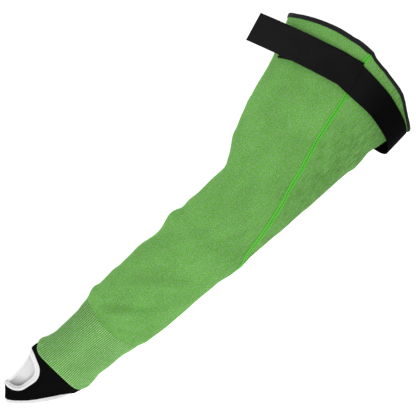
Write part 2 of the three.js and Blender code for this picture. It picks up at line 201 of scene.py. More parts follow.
def folds_at(folds, at, angle):
    """Height of a table of folds, each a smooth ridge or valley, as a share of a full fold."""
    girth_radius = FOREARM_WIDTH / 2
    height = np.zeros(np.broadcast(at, angle).shape)
    for along, around, turn, reach, spread, depth in folds:
        ahead = at - CUFF_LENGTH - along * BODY_LENGTH
        aside = (angle - math.radians(around)) * girth_radius
        cos, sin = math.cos(math.radians(turn)), math.sin(math.radians(turn))
        run = (ahead * cos + aside * sin) / (reach * FOREARM_WIDTH)
        side = (aside * cos - ahead * sin) / (spread * FOREARM_WIDTH)
        height = height + depth * np.exp(-run * run - side * side)
    return height


# Finer creases of the knit, in the same columns as the folds
CREASES = [
    (0.02, 100, 62, 0.13, 0.034, -1), (0.012, 78, 52, 0.15, 0.038, -0.9),
    (0.04, 62, 34, 0.22, 0.04, -0.4), (0.06, 112, 30, 0.24, 0.04, 0.3),
    (0.1, 96, 44, 0.34, 0.045, -0.35), (0.17, 70, 36, 0.3, 0.06, 0.3),
    (0.25, 84, 80, 0.24, 0.045, -0.35), (0.33, 92, 30, 0.24, 0.05, -0.25),
    (0.4, 104, 24, 0.26, 0.045, -0.4), (0.47, 110, 20, 0.24, 0.05, 0.25),
    (0.52, 74, 56, 0.22, 0.05, -0.4), (0.59, 88, 10, 0.22, 0.045, -0.35),
    (0.66, 100, 16, 0.26, 0.05, 0.2), (0.7, 86, 40, 0.2, 0.045, -0.3),
    (0.755, 112, 30, 0.22, 0.04, -0.25), (0.66, 146, 14, 0.34, 0.045, 0.25),
    (0.62, 150, 12, 0.34, 0.05, -0.25), (0.56, 144, 16, 0.28, 0.045, 0.22),
    (0.637, 98, -17, 0.42, 0.04, 0.5), (0.583, 95, -17, 0.38, 0.036, -0.6),
    (0.614, 131, -20, 0.42, 0.036, 0.45), (0.655, 138, -20, 0.42, 0.036, -0.5),
    (0.758, 116, -22, 0.22, 0.03, 0.45), (0.765, 124, -22, 0.22, 0.03, -0.5),
    (0.11, 74, 40, 0.4, 0.05, -0.45), (0.165, 88, 42, 0.44, 0.075, 0.55),
    (0.05, 88, 42, 0.26, 0.06, 0.45), (0.33, 104, 14, 0.5, 0.08, 0.4),
]

waves = np.random.default_rng(17)
WAVE_TURNS = waves.uniform(0, 2 * math.pi, (WAVE_COUNT, 2))
WAVE_LENGTHS = waves.uniform(*WAVE_LENGTH_RANGE, WAVE_COUNT)
GATHER_STEPS = waves.uniform(-1, 1, GATHER_COUNT)


def gathers(at, angle):
    """Small puckers of the knit beside the cuff, fading along the arm."""
    place = (angle / (2 * math.pi) + 0.5) * GATHER_COUNT
    step = np.floor(place).astype(int)
    share = place - step
    blend = share * share * (3 - 2 * share)
    here = GATHER_STEPS[step % GATHER_COUNT]
    ahead = GATHER_STEPS[(step + 1) % GATHER_COUNT]
    away = np.maximum(0, at - CUFF_LENGTH)
    fade = np.exp(-away / GATHER_FADE)
    return (here * (1 - blend) + ahead * blend) * fade * np.clip(away / GATHER_START, 0, 1)


def soft_waves(at, angle):
    """Low seeded waves of the cloth, most of them from -1 to 1."""
    aside = angle * FOREARM_WIDTH / 2
    total = 0
    for (turn, phase), length in zip(WAVE_TURNS, WAVE_LENGTHS):
        step = (at * math.cos(turn) + aside * math.sin(turn)) / length
        total = total + np.sin(2 * math.pi * step + phase)
    return total / WAVE_SPREAD


def cloth_lift(at, angle):
    """How far the cloth stands off the plain form. Its finer relief fades at the cuff and strap."""
    upper = np.maximum(0, np.sin(angle))
    main = FOLD_DEPTH * folds_at(FOLDS, at, angle)
    ease = np.clip((at - CUFF_LENGTH) / CREASE_EASE, 0, 1)
    ease = ease * np.clip((ARM_END - CREASE_STOP - at) / CREASE_STOP_EASE, 0, 1)
    fine = FOLD_DEPTH * folds_at(CREASES, at, angle) + WAVE_DEPTH * soft_waves(at, angle)
    return (main + fine * ease + GATHER_DEPTH * gathers(at, angle)) * upper


# Place along the arm, how far the cloth bulges past the plain form on the thumb side and opposite
SIDE_EASE = np.array([
    (-72, 2.6, 0), (-30, 3, 0), (-8, 3.6, 0), (0, 1.8, 0), (4, 1.6, 0), (13, -1, 0),
    (20, -1.2, -0.1), (36, -0.8, 0.9), (60, -0.4, -0.3), (72, 1.8, 0.5), (84, 2, 0.9),
    (98, 2.1, 1.8),
    (108, -0.4, 1.8), (120, 0.2, 1.7), (132, 1, 1.4), (144, -0.7, 1.2), (160, -0.8, 1.4),
    (184, 0.6, 1), (204, -0.4, 0.9), (216, 0.1, 1), (228, 0.3, 0.7), (240, 0.5, 1.6),
    (252, -1.3, 2.5), (264, 0.4, 1.6), (276, -0.5, 2), (288, -0.1, 2.5), (300, 0.3, 2.4),
    (312, -0.5, 3), (324, -1.4, 3), (336, -0.2, 2.2), (348, -0.3, 2.1), (360, 0.4, 2.8),
    (372, -0.7, 2.6), (384, -0.2, 2.8), (396, -0.1, 2.8), (408, 0.4, 2.6), (420, -0.3, 2.3),
    (432, -0.3, 2.4), (444, -0.5, 4.2), (458, -0.3, 3.6), (476, 0, 1.4), (494, 0, 2.6),
    (512, 0, 2.4), (542, 0.5, 3.6),
])
SIDE_EASE_POWER = 3
# Place along the arm, how sharply its cross lines bow at the two sides
BOW_POWER = np.array([(-72, 4), (-10, 6), (0, 9), (12, 6), (40, 2.6), (80, 1.8), (542, 1.8)])
# Place across the arm, how far the hem runs past the plain form there
HEM_EASE = np.array([
    (-118, 1), (-103, 0.6), (-95, 1.4), (-87, 3.2), (-78, 4.3), (-71, 3.6), (-62, 1.8), (-52, 0),
    (-43, -0.8), (-36, -2), (-25, -2.2), (-18, 0.2), (-11, 0), (4, 0), (11, -0.9), (20, -0.5),
    (32, 0.2), (60, 0.6), (82, 0.9), (90, 2.4),
])
HEM_EASE_RUN = 60.0


def arm_point(at, angle, grow=0.0):
    """A point of the arm's surface, moved outwards by grow. angle starts at the thumb side."""
    at, angle, grow = np.broadcast_arrays(*(np.asarray(v, float) for v in (at, angle, grow)))
    inside = np.clip(at, FORM_ROWS[0, 0], ARM_END)
    width, middle, height, bow, floor = (
        read_table(FORM_ROWS, column, inside) for column in range(1, 6)
    )
    over = np.sin(angle) >= 0
    power = np.where(over, TOP_ROUNDNESS, UNDER_ROUNDNESS)
    across = np.sign(np.cos(angle)) * np.abs(np.cos(angle)) ** power
    level = floor + WIDEST_LEVEL * (height - floor)
    upper = height + grow - level
    lower = UNDER_REACH * (level - floor + grow)
    rise = np.abs(np.sin(angle)) ** power
    free = np.where(over, level + upper * rise, level - lower * rise)
    lift = cloth_lift(inside, angle)
    thumb_side = read_table(SIDE_EASE, 1, inside) * np.maximum(0, across) ** SIDE_EASE_POWER
    far_side = read_table(SIDE_EASE, 2, inside) * np.maximum(0, -across) ** SIDE_EASE_POWER
    aside = middle + (width / 2 + grow) * across + SIDE_FOLD_SHARE * lift * np.cos(angle)
    aside = aside + thumb_side - far_side
    bow_power = read_table(BOW_POWER, 1, inside)
    near_hem = np.clip(1 - (ARM_END - inside) / HEM_EASE_RUN, 0, 1) ** 2
    hem_ease = near_hem * np.interp(aside, *HEM_EASE.T)
    return np.stack([
        at + bow * np.abs(across) ** bow_power + hem_ease,
        aside,
        np.maximum(floor - grow, free) + lift * np.abs(np.sin(angle)),
    ], -1)


# Where the tables' x = 0 and y = 0 are in the frame
MILLIMETRE = 0.001
hem_edge = HEM_EDGE_SHARE * HEM_WIDTH + GAP + BINDING_WALL
shift_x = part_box("rib_cuff")[0].x
shift_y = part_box("top_binding")[1].y - MILLIMETRE * hem_edge


def to_frame(points):
    return points * MILLIMETRE + [shift_x, shift_y, 0.0]


def search(low, high, too_low):
    """The places between low and high up to which too_low holds, by halving."""
    for _ in range(HALVINGS):
        middle = (low + high) / 2
        below = too_low(middle)
        low, high = np.where(below, middle, low), np.where(below, high, middle)
    return low


def run_lengths(points, closed=False):
    """Distances along a line of points from its start, and back to it where it is closed."""
    steps = np.diff(points, axis=0, append=points[:1]) if closed else np.diff(points, axis=0)
    return np.concatenate([[0], np.cumsum(np.linalg.norm(steps, axis=1))])


# Meshes

def add_object(name, data):
    made = bpy.data.objects.new(name, data)
    bpy.context.scene.collection.objects.link(made)
    return made


def make_piece(name, points, faces, uv, material, replaced, slot):
    """A closed smooth mesh from points in millimetres.

    uv has the places on the cloth of each face's corners; replaced is the CAD node it stands for.
    """
    placed = to_frame(points)
    fans = np.array([(f[0], f[k], f[k + 1]) for f in faces for k in range(1, len(f) - 1)])
    if np.linalg.det(placed[fans]).sum() < 0:
        faces = [tuple(reversed(face)) for face in faces]
        uv = [list(reversed(corners)) for corners in uv]
    mesh = bpy.data.meshes.new(name)
    faces = [tuple(int(v) for v in face) for face in faces]
    mesh.from_pydata([tuple(p) for p in placed], [], faces)
    layer = mesh.uv_layers.new(name="cloth")
    corners = np.array([corner for face in uv for corner in face], np.float32)
    layer.data.foreach_set("uv", corners.ravel())
    mesh.shade_smooth()
    mesh.update()
    mesh.materials.append(material)
    piece = add_object(name, mesh)
    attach(piece, "root")
    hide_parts(replaced)


def lattice(points, places, closed=True):
    """Faces of rows of points that close round, with their corners' places on the cloth.

    The last row joins the first where closed is true. Otherwise both have an end face.
    """
    rows, columns = points.shape[:2]
    i, j = np.meshgrid(np.arange(rows if closed else rows - 1), np.arange(columns), indexing="ij")
    below, right = (i + 1) % rows, (j + 1) % columns
    row, row_below = i * columns, below * columns
    faces = np.stack([row + j, row + right, row_below + right, row_below + j], -1)
    uv = np.stack([places[i, j], places[i, j + 1], places[i + 1, j + 1], places[i + 1, j]], -2)
    faces = [tuple(f) for f in faces.reshape(-1, 4)]
    uv = [list(map(tuple, c)) for c in uv.reshape(-1, 4, 2)]
    if not closed:
        first = list(range(columns))
        last = [(rows - 1) * columns + k for k in first]
        faces += [tuple(reversed(first)), tuple(last)]
        uv.append([tuple(places[0, k]) for k in reversed(first)])
        uv.append([tuple(places[rows - 1, k]) for k in first])
    return points.reshape(-1, 3), faces, uv


def pairs(along, across):
    return np.stack(np.broadcast_arrays(along, across), -1)


def strip(grid, along, across):
    """Faces of a strip with closed ends: rows of points, each once round the strip's section."""
    places = pairs(along[:, None], across)
    places = np.concatenate([places, places[:, :1]], axis=1)
    return lattice(grid, places, closed=False)


def tube_places(ats, angles, points):
    """Places on the cloth of a tube: along it, and the way round from its top line."""
    step = np.linalg.norm(np.diff(points, axis=1, append=points[:, :1]), axis=2)
    around = np.concatenate([np.zeros((len(points), 1)), np.cumsum(step, axis=1)], axis=1)
    top = np.argmin(np.abs(angles - math.pi / 2))
    return pairs(ats[:, None], around - around[:, top:top + 1])


def tube_shell(name, profile, angles, grow_at, material, replaced, slot, across_unit=None):
    """A closed wall round the arm. profile has (at, grow) round the wall's section.

    grow_at changes grow by the column. The cloth counts to across_unit round the tube if given.
    """
    ats, grows = np.array(profile).T
    points = arm_point(ats[:, None], angles[None, :], grow_at(grows[:, None]))
    places = tube_places(ats, angles, points)
    if across_unit is not None:
        places[..., 1] = across_unit * np.linspace(0, 1, len(angles) + 1)
    places = np.concatenate([places, places[:1]])
    make_piece(name, *lattice(points, places), material, replaced, slot)


def ring_angles(count):
    """Angles round the tube that start and end under it."""
    return -math.pi / 2 + 2 * math.pi * np.arange(count) / count


# Materials

class Shader:
    """A fabric's node tree, made a node at a time."""

    def __init__(self, name, specular, sheen=0.0, sheen_roughness=0.5):
        self.material = bpy.data.materials.new(name)
        self.material.use_nodes = True
        self.tree = self.material.node_tree
        self.body = self.tree.nodes["Principled BSDF"]
        self.body.inputs["Specular IOR Level"].default_value = specular
        self.body.inputs["Sheen Weight"].default_value = sheen
        self.body.inputs["Sheen Roughness"].default_value = sheen_roughness
        self.uv = self.add("UVMap", {"uv_map": "cloth"}).outputs["UV"]
        self.along_across = self.add("SeparateXYZ", None, {"Vector": self.uv}).outputs[:2]

    def add(self, kind, settings=None, inputs=None):
        made = self.tree.nodes.new("ShaderNode" + kind)
        for key, value in (settings or {}).items():
            setattr(made, key, value)
        for key, value in (inputs or {}).items():
            if isinstance(value, bpy.types.NodeSocket):
                self.tree.links.new(value, made.inputs[key])
            else:
                made.inputs[key].default_value = value
        return made

    def math(self, operation, a, b=0.0, c=0.0):
        return self.add("Math", {"operation": operation}, {0: a, 1: b, 2: c}).outputs[0]

    def times(self, a, b):
        return self.math("MULTIPLY", a, b)

    def times_plus(self, a, b, c):
        return self.math("MULTIPLY_ADD", a, b, c)

    def noise(self, along, across, detail=2.0, rough=0.6, shift=0.0):
        """Noise whose grains are along by across millimetres."""
        mapped = self.add("Mapping", None, {
            "Vector": self.uv, "Scale": (1 / along, 1 / across, 1),
            "Location": (shift, shift, shift),
        }).outputs[0]
        made = self.add("TexNoise", {"noise_dimensions": "2D"}, {
            "Vector": mapped, "Scale": 1.0, "Detail": detail, "Roughness": rough,
        })
        return made.outputs[0]

    def ramp(self, value, low, high, start=0.0, end=1.0):
        """A smooth change from start to end as the value goes from low to high."""
        return self.add("MapRange", {"interpolation_type": "SMOOTHSTEP"}, {
            "Value": value, "From Min": low, "From Max": high, "To Min": start, "To Max": end,
        }).outputs[0]

    def mix(self, share, a, b):
        return self.add("Mix", {"data_type": "RGBA"}, {"Factor": share, 6: a, 7: b}).outputs[2]

    def shade(self, color, value):
        """The colour multiplied by a value."""
        return self.add("VectorMath", {"operation": "SCALE"}, {0: color, "Scale": value}).outputs[0]

    def wave(self, value, period, phase=0.0):
        """A smooth wave from 0 to 1."""
        step = self.times_plus(value, 2 * math.pi / period, phase)
        return self.times_plus(self.math("SINE", step), 0.5, 0.5)

    def off(self, value, middle):
        """Distance of a value from a middle one."""
        return self.math("ABSOLUTE", self.math("SUBTRACT", value, middle))

    def finish(self, color, grain, rough, height, distance):
        """Join the colour, a roughness that grain takes from low to high, and a bump in metres."""
        self.tree.links.new(color, self.body.inputs["Base Color"])
        self.tree.links.new(self.ramp(grain, 0, 1, *rough), self.body.inputs["Roughness"])
        bump = self.add("Bump", None, {"Height": height, "Distance": distance, "Strength": 1.0})
        self.tree.links.new(bump.outputs[0], self.body.inputs["Normal"])
        return self.material


def linear(red, green, blue):
    """A colour of 0 to 255 in the display's scale as a linear colour."""
    shares = [c / 255 for c in (red, green, blue)]
    made = [((c + 0.055) / 1.055) ** 2.4 if c > 0.04 else c / 12.92 for c in shares]
    return (*made, 1.0)


# Millimetres of cloth: width and height of the knit's stitches, how far a stitch's two legs lean
WALE = 1.5
COURSE = 1.15
LOOP_LEAN = 4.2
# Length of a loop in the ribs, of a stitch in the flatlock seam and of one in the thumb trim
RIB_COURSE = 1.7
SEAM_STITCH = 3.0
TRIM_STITCH = 2.6
TRIM_STITCH_PLACE = 3.6
# Places on the cloth, from and to, between which painted shade or painted light makes it darker or
# lighter
FAR_SIDE_SHADE_ACROSS = (5, 80)
FAR_SIDE_SHADE_ALONG = (170, 300)
FOREARM_LIGHT_SPAN = (180, 380)
CUFF_SHADE_RIBS = (24, 42)
CUFF_EDGE_HIGHLIGHT = (0.5, 1.8)
HOLE_SIDE = (-6, 0)
HOLE_DEEP = (-62, -55)
HOLE_TIP = (-61, -58)
HOLE_SHADE = (-56, -40)


def knit_material():
    """Heather knit: stitches in rows, with grey green, deep green and pale flecks of yarn."""
    s = Shader("knit_heather", 0.1, 0.03, 0.6)
    along, across = s.along_across
    rows = s.wave(across, WALE)
    wale = s.math("FRACT", s.math("DIVIDE", across, WALE))
    loops = s.wave(along, COURSE, s.times(s.off(wale, 0.5), LOOP_LEAN))
    stitch = s.times(rows, s.times_plus(loops, 0.5, 0.5))
    fleck = s.ramp(s.noise(2.2, 0.8), 0.46, 0.62)
    spark = s.ramp(s.noise(1.7, 0.7, 1.0, 0.5, 31.0), 0.58, 0.70)
    deep = s.ramp(s.noise(2.6, 0.9, shift=57.0), 0.46, 0.62)
    mottle = s.noise(46.0, 28.0, rough=0.5, shift=11.0)
    color = s.mix(fleck, linear(95, 177, 46), linear(140, 172, 124))
    color = s.mix(s.times(deep, 0.6), color, linear(82, 156, 42))
    color = s.mix(s.times(spark, 0.7), color, linear(160, 186, 154))
    # painted shade: the far side of the upper arm, turned away from the light, is darker in streaks
    far_side = s.times(s.ramp(across, *FAR_SIDE_SHADE_ACROSS), s.ramp(along, *FAR_SIDE_SHADE_ALONG))
    streak = s.noise(16.0, 1.5, shift=77.0)
    color = s.mix(far_side, color, s.shade(color, s.ramp(streak, 0.36, 0.64, 0.62, 0.84)))
    color = s.shade(color, s.ramp(streak, 0.35, 0.65, 0.95, 1.05))
    # painted light: the forearm is a little lighter towards the hand
    color = s.shade(color, s.ramp(along, *FOREARM_LIGHT_SPAN, 1.05, 1.0))
    # painted shade: the knit is darker between its stitches and rows, where its relief dips
    level = s.times_plus(stitch, 0.16, 0.92)
    level = s.times(s.ramp(mottle, 0.3, 0.7, 0.94, 1.05), level)
    height = s.math("ADD", stitch, s.times(fleck, 0.5))
    return s.finish(s.shade(color, level), fleck, (0.86, 0.96), height, 0.00022)


def rib_material():
    """Ribbed knit with painted light and shade: pale lit crests and deep green shaded valleys.
    across counts ribs from under the cuff.
    """
    s = Shader("rib_knit_green", 0.1, 0.03, 0.6)
    along, across = s.along_across
    crest = s.wave(across, 1.0, -math.pi / 2)
    loops = s.wave(along, RIB_COURSE)
    fleck = s.ramp(s.noise(3.0, 0.8, 3.0, 0.7), 0.44, 0.64)
    dash = s.ramp(s.noise(1.8, 0.5, 1.0, 0.5, 21.0), 0.5, 0.66)
    # painted light and shade: the crests pale as lit and the valleys deep green as shaded, each
    # flecked, with the loops on the crests lighter still
    light = s.mix(fleck, linear(152, 212, 122), linear(190, 224, 172))
    dark = s.mix(dash, linear(66, 148, 34), linear(94, 160, 70))
    color = s.mix(crest, dark, light)
    level = s.times_plus(s.times(loops, crest), 0.2, 0.86)
    mottle = s.noise(30.0, 9.0, 1.0, 0.5, 5.0)
    level = s.times(level, s.ramp(mottle, 0.3, 0.7, 0.95, 1.04))
    # painted shade: darker on the thumb side, turned from the light; painted highlight: pale along
    # the turned edge
    level = s.times(level, s.ramp(across, *CUFF_SHADE_RIBS, 0.80, 1.0))
    level = s.times(level, s.ramp(along, *CUFF_EDGE_HIGHLIGHT, 1.25, 1.0))
    height = s.math("ADD", s.times(loops, 0.7), s.times(fleck, 0.4))
    return s.finish(s.shade(color, level), fleck, (0.86, 0.95), height, 0.00025)


def seam_material():
    """Bright thread in two ridges, with the real stitch gaps between them painted dark as shade in
    the groove, and a painted shadow along one edge.
    """
    s = Shader("seam_thread_flatlock", 0.25, 0.1)
    along, across = s.along_across
    off_middle = s.math("ABSOLUTE", across)
    strands = s.wave(s.math("ADD", along, s.times(off_middle, 0.9)), 1.0)
    grain = s.ramp(s.noise(1.4, 0.6), 0.35, 0.7)
    color = s.mix(s.times(strands, 0.6), linear(86, 194, 48), linear(110, 214, 72))
    color = s.mix(s.times(grain, 0.35), color, linear(88, 190, 56))
    # painted shade: the stitch gaps in the groove between the ridges are dark
    middle = s.ramp(off_middle, 0.45, 0.9, 1.0, 0.0)
    dash = s.ramp(s.wave(along, SEAM_STITCH), 0.35, 0.75)
    groove_shade = s.times(middle, s.times_plus(dash, 0.85, 0.05))
    color = s.mix(groove_shade, color, linear(30, 96, 22))
    # painted shadow: a darker line along one side edge of the seam
    edge = s.ramp(across, 2.45, 2.9, 0.0, 0.6)
    color = s.mix(edge, color, linear(48, 118, 32))
    return s.finish(color, grain, (0.6, 0.8), s.math("ADD", strands, grain), 0.00015)


def woven_material(
    name, base, pale, pitch, roughness, depth, specular, sheen=0.0, painted_light_along=None,
):
    """A plain woven or brushed cloth: warp and weft crossing, with fine grain.

    Its last argument, if given, paints light and shade along the cloth: two places along it and
    then how bright it is at each.
    """
    s = Shader(name, specular, sheen)
    along, across = s.along_across
    warp, weft = s.wave(along, pitch), s.wave(across, pitch)
    cross = s.math("ABSOLUTE", s.math("SUBTRACT", warp, weft))
    grain = s.ramp(s.noise(pitch * 1.6, pitch * 1.2, 3.0, 0.7), 0.35, 0.7)
    drift = s.ramp(s.noise(34.0, 20.0, rough=0.5, shift=9.0), 0.3, 0.7, 0.85, 1.15)
    share = s.times_plus(cross, 0.5, s.times(grain, 0.5))
    color = s.mix(s.times(share, drift), base, pale)
    # painted light and shade: the cloth lighter or darker along its length
    if painted_light_along:
        color = s.shade(color, s.ramp(along, *painted_light_along))
    rough = (roughness - 0.06, roughness + 0.04)
    return s.finish(color, grain, rough, s.math("ADD", cross, grain), depth)


def lining_material():
    """White lining, with a painted shadow on its lower layer at the finger end of the thumb hole.
    """
    s = Shader("lining_white", 0.1, 0.05)
    along, across = s.along_across
    weave = s.times(s.wave(along, 0.8), s.wave(across, 0.8))
    grain = s.ramp(s.noise(1.3, 1.0, 3.0, 0.7), 0.35, 0.7)
    color = s.mix(grain, linear(238, 238, 238), linear(250, 250, 250))
    # painted shadow of the upper layer, on the lower layer in the thumb hole at its finger end
    below = s.times(s.ramp(across, *HOLE_SIDE, 1.0, 0.0), s.ramp(across, *HOLE_DEEP))
    below = s.times(below, s.ramp(along, *HOLE_TIP))
    grey = s.ramp(s.math("ADD", along, s.times(across, 0.25)), *HOLE_SHADE, 0.56, 1.0)
    color = s.mix(below, color, s.shade(color, grey))
    return s.finish(color, grain, (0.84, 0.94), s.math("ADD", weave, grain), 0.00012)


def trim_material():
    """White tape with a line of stitches where it turns into the hole."""
    s = Shader("trim_white", 0.1)
    along, across = s.along_across
    weave = s.times(s.wave(along, 0.9), s.wave(across, 0.9))
    grain = s.ramp(s.noise(1.4, 1.0), 0.35, 0.7)
    color = s.mix(grain, linear(238, 238, 238), linear(250, 250, 250))
    line = s.ramp(s.off(across, TRIM_STITCH_PLACE), 0.35, 0.6, 1.0, 0.0)
    stitch = s.times(line, s.ramp(s.wave(along, TRIM_STITCH), 0.4, 0.7))
    color = s.mix(stitch, color, linear(196, 196, 196))
    return s.finish(color, grain, (0.8, 0.9), s.math("SUBTRACT", weave, stitch), 0.00015)


binding_black = woven_material(
    "binding_black", linear(14, 14, 15), linear(35, 35, 37), pitch=0.9, roughness=0.85,
    depth=0.00015, specular=0.2, sheen=0.05,
)
# painted light: the band is much lighter over its first stretch and darker further round
loop_cloth = woven_material(
    "strap_black", linear(2, 2, 2), linear(10, 10, 10), pitch=0.8, roughness=0.96, depth=0.00012,
    specular=0.06, painted_light_along=(85, 150, 5.6, 0.75),
)
# painted light: the tab turns lighter towards its free end
tab_cloth = woven_material(
    "tab_black", linear(8, 8, 8), linear(28, 28, 28), pitch=0.8, roughness=0.95, depth=0.00015,
    specular=0.08, painted_light_along=(0, 110, 1.25, 1.9),
)
hand_black = woven_material(
    "hand_black", linear(3, 3, 3), linear(15, 15, 15), pitch=0.6, roughness=0.95, depth=0.0001,
    specular=0.06,
)


# Knit tube and cuff

EDGE_STEP = 0.4
BODY_ROWS = 232
BODY_INNER_ROWS = 90
BODY_COLUMNS = 150
BODY_EDGE = ARM_END - BINDING_WALL - GAP
BODY_START = CUFF_LENGTH + EDGE_STEP
body_profile = [
    (CUFF_LENGTH, -0.5 * BODY_WALL), (CUFF_LENGTH + 0.08, -0.2),
    *((at, 0.0) for at in np.linspace(BODY_START, BODY_EDGE, BODY_ROWS)),
    (BODY_EDGE, -0.5 * BODY_WALL),
    *((at, -BODY_WALL) for at in np.linspace(BODY_EDGE - EDGE_STEP, BODY_START, BODY_INNER_ROWS)),
]
tube_shell(
    "sleeve_knit", body_profile, ring_angles(BODY_COLUMNS), lambda grows: grows,
    knit_material(), "sleeve_body", "knit",
)


GIRTH_STEPS = 4000


def even_angles(at, count):
    """Angles that start under the tube and step evenly along its girth."""
    fine = ring_angles(GIRTH_STEPS)
    length = run_lengths(arm_point(at, fine), closed=True)
    turns = np.append(fine, fine[0] + 2 * math.pi)
    return np.interp(length[-1] * np.arange(count) / count, length, turns)


RIB_STEPS = 6
RIB_SHARPNESS = 1.4
RIB_SINK = 0.4
cuff_angles = even_angles(0.5 * CUFF_LENGTH, RIB_COUNT * RIB_STEPS)


def rib_grow(grows):
    """Ribs run along the cuff's outer face and sink at its turned edge."""
    valley = 0.5 + 0.5 * np.cos(2 * math.pi * np.arange(len(cuff_angles)) / RIB_STEPS)[None, :]
    outside = np.clip(1 + grows / RIB_SINK, 0, 1)
    return grows - RIB_DEPTH * valley ** RIB_SHARPNESS * outside


CUFF_ROWS = 56
CUFF_INNER_ROWS = 14
cuff_profile = [
    (0.35, -0.8 * CUFF_WALL), (0.0, -0.5 * CUFF_WALL), (0.1, -0.25), (0.6, 0.0),
    *((at, 0.0) for at in np.linspace(2.0, CUFF_LENGTH - 0.5, CUFF_ROWS)),
    (CUFF_LENGTH - 0.12, -0.2), (CUFF_LENGTH - 0.08, -0.5 * CUFF_WALL),
    *((at, -CUFF_WALL) for at in np.linspace(CUFF_LENGTH - EDGE_STEP, 1.0, CUFF_INNER_ROWS)),
]
tube_shell(
    "ribbed_cuff", cuff_profile, cuff_angles, rib_grow,
    rib_material(), "rib_cuff", "rib_knit", RIB_COUNT,
)


# Flatlock seam

def seam_frame(at):
    """Angle of the seam and how far an angle of one radian goes there."""
    around = np.radians(read_table(SEAM_ROUTE, 1, (at - CUFF_LENGTH) / BODY_LENGTH))
    reach = arm_point(at, around + NUDGE) - arm_point(at, around - NUDGE)
    return around, np.linalg.norm(reach, axis=-1) / (2 * NUDGE)


# Across the seam: two ridges of thread with a stitched groove between them, as shares of its
# width and height
SEAM_SECTION = np.array([
    (-0.5, -0.3), (-0.5, 0.25), (-0.44, 0.62), (-0.34, 0.92), (-0.22, 1), (-0.12, 0.75),
    (-0.05, 0.55), (0.05, 0.55), (0.12, 0.75), (0.22, 1), (0.34, 0.92), (0.44, 0.62),
    (0.5, 0.25), (0.5, -0.3),
])
SEAM_STEP = 0.62
SEAM_RIDGE_START = 0.4
SEAM_LOOP_DEPTH = 0.22
SEAM_BRIDGE_RISE = 0.35
SEAM_GROOVE_SHARE = 0.08


def seam_piece():
    start, end = CUFF_LENGTH + 1, ARM_END - BINDING_WIDTH - 4 * GAP
    at = np.linspace(start, end, int((end - start) / SEAM_STEP))
    around, reach = seam_frame(at)
    length = run_lengths(arm_point(at, around))
    across = SEAM_SECTION[:, 0] * SEAM_WIDTH
    height = SEAM_SECTION[:, 1] * (GAP + SEAM_WALL)
    loops = 0.5 + 0.5 * np.cos(2 * math.pi * length / SEAM_STITCH)
    ridge = np.clip(height - SEAM_RIDGE_START, 0, 1)[None, :]
    groove = (np.abs(across) < SEAM_GROOVE_SHARE * SEAM_WIDTH)[None, :]
    grow = height[None, :] - SEAM_LOOP_DEPTH * ridge * loops[:, None]
    grow = grow + SEAM_BRIDGE_RISE * groove * (1 - loops[:, None])
    grid = arm_point(at[:, None], around[:, None] - across[None, :] / reach[:, None], grow)
    faces = strip(grid, length, across)
    make_piece("flatlock_seam", *faces, seam_material(), "long_seam", "seam_thread")


seam_piece()


# Hem binding

# Angle in degrees, how much wider than the plain binding, as a share of BINDING_EXTRA
BINDING_STEPS = np.array([
    (-90, 0), (-20, 0.2), (20, 0.8), (90.5, 1), (92.5, 0.15), (104, 0), (270, 0),
])
BINDING_EXTRA = 1.9
BINDING_COLUMNS = 300


def binding_piece():
    angles = ring_angles(BINDING_COLUMNS)
    extra = np.interp(np.degrees(angles), *BINDING_STEPS.T) * BINDING_EXTRA
    outer = GAP + BINDING_WALL
    inner = -BODY_WALL - GAP
    below = inner - BINDING_WALL
    end, start = ARM_END, ARM_END - BINDING_WIDTH
    # round the tape's section: place along, grow, share of the extra width
    section = np.array([
        (start, GAP, 1), (start - 0.15, 0.65 * outer, 1), (start + 0.5, outer, 1),
        (end - 2.8, outer + 0.12, 0.5), (end - 1.2, outer, 0), (end - 0.35, 0.6 * outer, 0),
        (end, 0.5 * (outer + inner), 0), (end - 0.35, inner - 0.5 * BINDING_WALL, 0),
        (end - 1.2, below, 0), (start + 0.4, below, 0), (start, inner - 0.4, 0),
        (start + 0.2, inner, 0), (end - BINDING_WALL, inner, 0),
        (end - BINDING_WALL, GAP, 0),
    ])
    ats, grows, shares = section.T[..., None]
    points = arm_point(ats - extra[None, :] * shares, angles[None, :], grows)
    around = run_lengths(points[4], closed=True)
    turned = run_lengths(points[:, 0], closed=True)
    faces = lattice(points, pairs(around, turned[:, None]))
    make_piece("hem_binding", *faces, binding_black, "top_binding", "binding")


binding_piece()


# Strap

BAND_ROWS = 190
STRAP_COLUMNS = 13
STRAP_EDGE = 0.012


def band_route(angle):
    """How far the band is ahead and how wide it is at an angle, as shares of its full width."""
    degrees = np.degrees(angle)
    return read_table(BAND_ROUTE, 1, degrees), read_table(BAND_ROUTE, 2, degrees)


def band_reference(angle):
    """Where along the form the band's upper edge crosses the knit."""
    ahead, wide = band_route(angle)
    edge = BAND_MIDDLE + (ahead + 0.5 * wide) * STRAP_WIDTH
    return search(CUFF_LENGTH, ARM_END, lambda at: arm_point(at, angle)[..., 0] < edge)


def band_point(angle, across, grow):
    """A point of the band, across from its middle line."""
    ahead, wide = band_route(angle)
    points = arm_point(band_reference(angle), angle, grow)
    points[..., 0] = BAND_MIDDLE + ahead * STRAP_WIDTH + across * wide
    return points


def strap_section():
    """Distances across a strap's section and heights in it, once round."""
    face = np.linspace(STRAP_EDGE - 0.5, 0.5 - STRAP_EDGE, STRAP_COLUMNS)
    top = [(a, 1.0) for a in face]
    under = [(a, 0.0) for a in face[::-1]]
    shares = np.array([(-0.5, 0.5), *top, (0.5, 0.5), *under])
    return shares[:, 0] * STRAP_WIDTH, shares[:, 1] * STRAP_WALL


